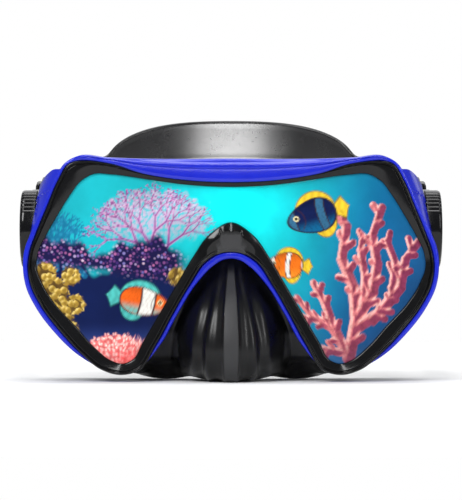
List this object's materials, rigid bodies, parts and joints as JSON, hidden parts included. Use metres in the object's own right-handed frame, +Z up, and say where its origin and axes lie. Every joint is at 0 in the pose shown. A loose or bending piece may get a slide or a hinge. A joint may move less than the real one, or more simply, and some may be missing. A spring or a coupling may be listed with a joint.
{
  "type": "snorkel mask",
  "caption": "Diving and snorkelling mask with one wide window, a black and blue frame, a black silicone skirt with a nose pocket, and a head strap on swivelling roller buckles.",
  "frame": {"origin": "on the table under the middle of the mask and its strap", "axes": "+Z up, the wearer looks along -Y, +X to the wearer's left; the mask is alike on both sides of X = 0"},
  "size_m": [0.1832, 0.1925, 0.1195],
  "materials": {
    "lens_glass": "mirror-coated tempered glass",
    "black_frame": "glossy black plastic",
    "blue_frame": "glossy royal blue plastic",
    "black_silicone": "polished black silicone",
    "steel": "stainless steel"
  },
  "bodies": {
    "mask": {"lens": "lens_glass", "bezel": "black_frame", "outer_frame": "blue_frame", "skirt": "black_silicone", "pivot_pin_right": "steel", "pivot_pin_left": "steel"},
    "strap_and_buckles": {"head_strap": "black_silicone", "buckle_housing_right": "black_frame", "buckle_plate_right": "black_frame", "plate_screw_upper_right": "steel", "plate_screw_lower_right": "steel", "pawl_pin_right": "steel", "roller_axle_right": "steel", "return_spring_right": "steel", "buckle_housing_left": "black_frame", "buckle_plate_left": "black_frame", "plate_screw_upper_left": "steel", "plate_screw_lower_left": "steel", "pawl_pin_left": "steel", "roller_axle_left": "steel", "return_spring_left": "steel"},
    "strap_roller_right": {"strap_roller_right": "steel"},
    "release_button_right": {"release_button_right": "black_frame"},
    "pawl_right": {"pawl_right": "black_frame"},
    "keeper_right": {"keeper_right": "black_silicone"},
    "strap_roller_left": {"strap_roller_left": "steel"},
    "release_button_left": {"release_button_left": "black_frame"},
    "pawl_left": {"pawl_left": "black_frame"},
    "keeper_left": {"keeper_left": "black_silicone"}
  },
  "joints": [
    {"name": "strap_swing", "type": "hinge", "parent": "mask", "child": "strap_and_buckles", "pos_m": [0, -0.05226, 0.0652], "axis": [1, 0, 0], "range_deg": [-25, 40]},
    {"name": "roller_spin_right", "type": "hinge", "parent": "strap_and_buckles", "child": "strap_roller_right", "pos_m": [0.0863, -0.03439, 0.06916], "axis": [0, -0.2164, 0.9763], "continuous": true},
    {"name": "button_press_right", "type": "slide", "parent": "strap_and_buckles", "child": "release_button_right", "axis": [-1, 0, 0], "range_m": [0, 0.0008], "stiffness_N_per_m": 800, "deforming": ["return_spring_right"]},
    {"name": "pawl_rock_right", "type": "hinge", "parent": "strap_and_buckles", "child": "pawl_right", "pos_m": [0.088, -0.04396, 0.06704], "axis": [0, -0.2164, 0.9763], "range_deg": [-5.5, 0]},
    {"name": "keeper_slide_right", "type": "slide", "parent": "strap_and_buckles", "child": "keeper_right", "axis": [0, 0.9763, 0.2164], "range_m": [-0.005, 0.011]},
    {"name": "roller_spin_left", "type": "hinge", "parent": "strap_and_buckles", "child": "strap_roller_left", "pos_m": [-0.0863, -0.03439, 0.06916], "axis": [0, -0.2164, 0.9763], "continuous": true},
    {"name": "button_press_left", "type": "slide", "parent": "strap_and_buckles", "child": "release_button_left", "axis": [1, 0, 0], "range_m": [0, 0.0008], "stiffness_N_per_m": 800, "deforming": ["return_spring_left"]},
    {"name": "pawl_rock_left", "type": "hinge", "parent": "strap_and_buckles", "child": "pawl_left", "pos_m": [-0.088, -0.04396, 0.06704], "axis": [0, -0.2164, 0.9763], "range_deg": [0, 5.5]},
    {"name": "keeper_slide_left", "type": "slide", "parent": "strap_and_buckles", "child": "keeper_left", "axis": [0, 0.9763, 0.2164], "range_m": [-0.005, 0.011]}
  ],
  "couplings": [
    {"joint": "pawl_rock_right", "follows": "button_press_right", "rad_per_m": -117.65},
    {"joint": "pawl_rock_left", "follows": "button_press_left", "rad_per_m": 117.65}
  ]
}
